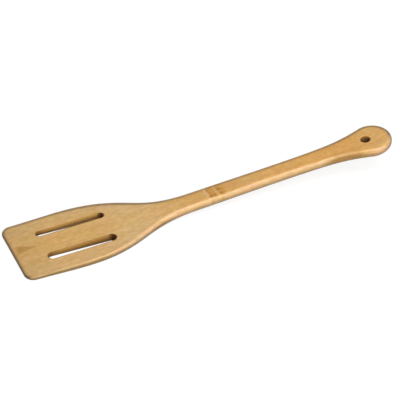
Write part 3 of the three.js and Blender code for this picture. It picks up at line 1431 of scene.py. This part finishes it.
@dataclass
class Turner:
    """The whole turner as an assembly of staves."""

    layout: StaveLayout = field(default_factory=StaveLayout)
    profile: SideProfile = field(default_factory=SideProfile)
    left_slot_width: float = 6.35 * MM
    right_slot_width: float = 4.76 * MM
    # How dark each slot's wall is at the top and at the bottom: the cutter's burn with painted
    # shade.
    left_slot_burn_and_shade: tuple[float, float] = (0.72, 0.54)
    right_slot_burn_and_shade: tuple[float, float] = (0.60, 0.42)

    @staticmethod
    def finishes() -> dict[str, BambooFinish]:
        """Chooses the finish of each stave.

        Returns:
            The finishes by the staves' names.
        """
        node, both = frozenset({Mark.NODE}), frozenset(Mark)
        return {
            "centre_stave": BambooFinish("bamboo_centre", "centre_bamboo", Shade.WARM, 1.0, both),
            "left_inner_stave": BambooFinish("bamboo_left_inner", "inner_bamboo",
                                             Shade.LIGHT, 2.0, node),
            "right_inner_stave": BambooFinish("bamboo_right_inner", "inner_bamboo",
                                              Shade.LIGHT, 3.0, both),
            "left_outer_stave": BambooFinish("bamboo_left_outer", "outer_bamboo",
                                             Shade.SAPWOOD, 4.0),
            "right_outer_stave": BambooFinish("bamboo_right_outer", "outer_bamboo",
                                              Shade.SAPWOOD, 5.0),
        }

    def staves(self) -> list[Stave]:
        """Sets out the staves.

        Returns:
            The staves with their limits across the blank.
        """
        gap = self.layout.glue_line / 2
        centre = self.layout.width / 2
        inner = centre + self.layout.width
        outer = inner + self.layout.width
        limits = {
            "centre_stave": (-centre + gap, centre - gap),
            "left_inner_stave": (-inner + gap, -centre - gap),
            "right_inner_stave": (centre + gap, inner - gap),
            "left_outer_stave": (-outer - gap, -inner - gap),
            "right_outer_stave": (inner + gap, outer + gap),
        }
        finishes = self.finishes()
        return [Stave(name, *limits[name], finishes[name]) for name in limits]

    def build(self) -> None:
        """Shapes the blank, parts it into staves and dresses them."""
        outline = PlanOutline(self.layout)
        cuts = ((Side.LEFT, self.left_slot_width, self.left_slot_burn_and_shade),
                (Side.RIGHT, self.right_slot_width, self.right_slot_burn_and_shade))
        slots = tuple(DrainSlot(side, self.layout, self.profile, width, *burn_and_shade_dark)
                      for side, width, burn_and_shade_dark in cuts)
        hole = HangHole(self.profile, outline.length)
        blank = ShapedBlank(outline, self.profile, slots, hole).build()
        painted_shading = PaintedEdgeShade(outline, self.profile)
        tip_x = -outline.length / 2
        for stave in self.staves():
            piece = stave.build(blank, tip_x, (*slots, hole), painted_shading)
            stave.dress(piece, tip_x)
        bpy.data.objects.remove(blank)


@dataclass(frozen=True)
class SoftLamp:
    """A rectangular soft lamp that faces the turner."""

    name: str
    direction: Vector
    size: tuple[float, float]
    level: float
    in_gloss: bool
    distance: float = 2.5
    colour: Colour = (1.0, 0.99, 0.97)

    def build(self, target: Vector) -> None:
        """Adds the lamp; level is the share of plain light that it gives a surface facing it.

        Args:
            target: Place that the lamp faces.
        """
        data = bpy.data.lights.new(self.name, "AREA")
        data.shape = "RECTANGLE"
        data.size, data.size_y = self.size
        data.color = self.colour
        data.energy = self.level * math.pi**2 * self.distance**2
        lamp = bpy.data.objects.new(self.name, data)
        towards = self.direction.normalized()
        lamp.location = target + towards * self.distance
        lamp.rotation_euler = towards.to_track_quat("Z", "Y").to_euler()
        lamp.visible_glossy = self.in_gloss
        bpy.context.scene.collection.objects.link(lamp)


@dataclass
class Studio:
    """Pale floor, soft lamps and the camera at the photograph's angle."""

    floor_size: float = 8.0
    floor_cells: int = 8
    floor_drop: float = 0.2 * MM
    floor_tone: Colour = (0.24, 0.24, 0.24)
    floor_bounce: Colour = (0.20, 0.19, 0.18)
    floor_glow: float = 0.85
    white: Colour = (1.0, 1.0, 1.0)
    ambient: float = 0.08
    azimuth: float = math.radians(-22.43)
    elevation: float = math.radians(39.68)
    distance: float = 2.19
    pixels_per_metre: float = 1334.0
    sensor: float = 36.0
    clip_end: float = 50.0
    aim: Vector = field(default_factory=lambda: Vector((0.0, 0.0, 5 * MM)))
    aim_pixel: tuple[float, float] = (204.78, 201.31)

    def build(self) -> None:
        """Builds the stage, the lamps and the camera."""
        self._world()
        self._floor()
        for lamp in self._lamps():
            lamp.build(self.aim)
        self._camera()

    @staticmethod
    def _lamps() -> tuple[SoftLamp, ...]:
        """Returns the lamps of the studio."""
        return (
            SoftLamp("high_lamp", direction=Vector((0.25, -0.36, 0.90)), size=(1.6, 2.0),
                     level=0.75, in_gloss=True),
            SoftLamp("side_lamp", direction=Vector((-0.20, -0.93, 0.30)), size=(1.6, 1.0),
                     level=0.86, in_gloss=False),
        )

    @staticmethod
    def _seen(sheet: NodeSheet) -> Socket:
        """Tells rays that show the studio from rays that light the turner.

        Args:
            sheet: Nodes to add to.

        Returns:
            1 for rays from the camera, by gloss or through glass too, and 0 for the others.
        """
        path = sheet.add("ShaderNodeLightPath").outputs
        indirect = sheet.math("MAXIMUM", path["Is Glossy Ray"], path["Is Transmission Ray"])
        return sheet.math("MAXIMUM", path["Is Camera Ray"], indirect)

    def _world(self) -> None:
        """Makes a white background that lights the turner softly."""
        world = bpy.data.worlds.new("studio_world")
        bpy.context.scene.world = world
        world.use_nodes = True
        sheet = NodeSheet(world.node_tree)
        strength = sheet.ramp(self._seen(sheet), Span(0.0, 1.0), self.ambient, 1.0)
        background = sheet.add("ShaderNodeBackground")
        background.inputs["Color"].default_value = (*self.white, 1.0)
        sheet.feed(background.inputs["Strength"], strength)
        output = sheet.add("ShaderNodeOutputWorld")
        sheet.feed(output.inputs["Surface"], background.outputs[0])

    def _floor(self) -> None:
        """Lays the pale floor just under the turner."""
        bm = bmesh.new()
        bmesh.ops.create_grid(bm, x_segments=self.floor_cells, y_segments=self.floor_cells,
                              size=self.floor_size / 2)
        bmesh.ops.translate(bm, verts=bm.verts[:], vec=(0.0, 0.0, -self.floor_drop))
        floor = new_object("studio_floor", bm)
        floor.data.materials.append(self._floor_finish())

    def _floor_finish(self) -> bpy.types.Material:
        """Makes the floor's finish.

        Returns:
            A material that is near white to the camera and duller as a reflector.
        """
        material = bpy.data.materials.new("pale_floor")
        material.use_nodes = True
        sheet = NodeSheet(material.node_tree)
        seen = self._seen(sheet)
        matt = sheet.add("ShaderNodeBsdfDiffuse")
        sheet.feed(matt.inputs["Color"], sheet.mix(seen, self.floor_bounce, self.floor_tone))
        glow = sheet.add("ShaderNodeEmission")
        sheet.feed(glow.inputs["Strength"], sheet.times(seen, self.floor_glow))
        both = sheet.fill(sheet.add("ShaderNodeAddShader"), matt.outputs[0], glow.outputs[0])
        output = sheet.add("ShaderNodeOutputMaterial")
        sheet.feed(output.inputs["Surface"], both)
        return material

    def _camera(self) -> None:
        """Sets the camera at the photograph's angle and framing."""
        flat = math.cos(self.elevation)
        back = Vector((math.sin(self.azimuth) * flat, -math.cos(self.azimuth) * flat,
                       math.sin(self.elevation)))
        turn = back.to_track_quat("Z", "Y")
        right, up = turn @ Vector((1.0, 0.0, 0.0)), turn @ Vector((0.0, 1.0, 0.0))
        off_x = (self.aim_pixel[0] - PHOTO_PIXELS / 2) / self.pixels_per_metre
        off_y = (self.aim_pixel[1] - PHOTO_PIXELS / 2) / self.pixels_per_metre
        data = bpy.data.cameras.new("photo_camera")
        data.sensor_width = self.sensor
        data.lens = self.sensor * self.pixels_per_metre * self.distance / PHOTO_PIXELS
        data.clip_end = self.clip_end
        camera = bpy.data.objects.new("photo_camera", data)
        camera.location = self.aim + back * self.distance - right * off_x + up * off_y
        camera.rotation_euler = turn.to_euler()
        bpy.context.scene.collection.objects.link(camera)
        bpy.context.scene.camera = camera


def main() -> None:
    """Builds the turner and its studio."""
    scene = bpy.context.scene
    scene.view_settings.view_transform = "Standard"
    Turner().build()
    Studio().build()
    log.info("turner built on %d CAD nodes", len(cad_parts))


if __name__ == "__main__":
    main()
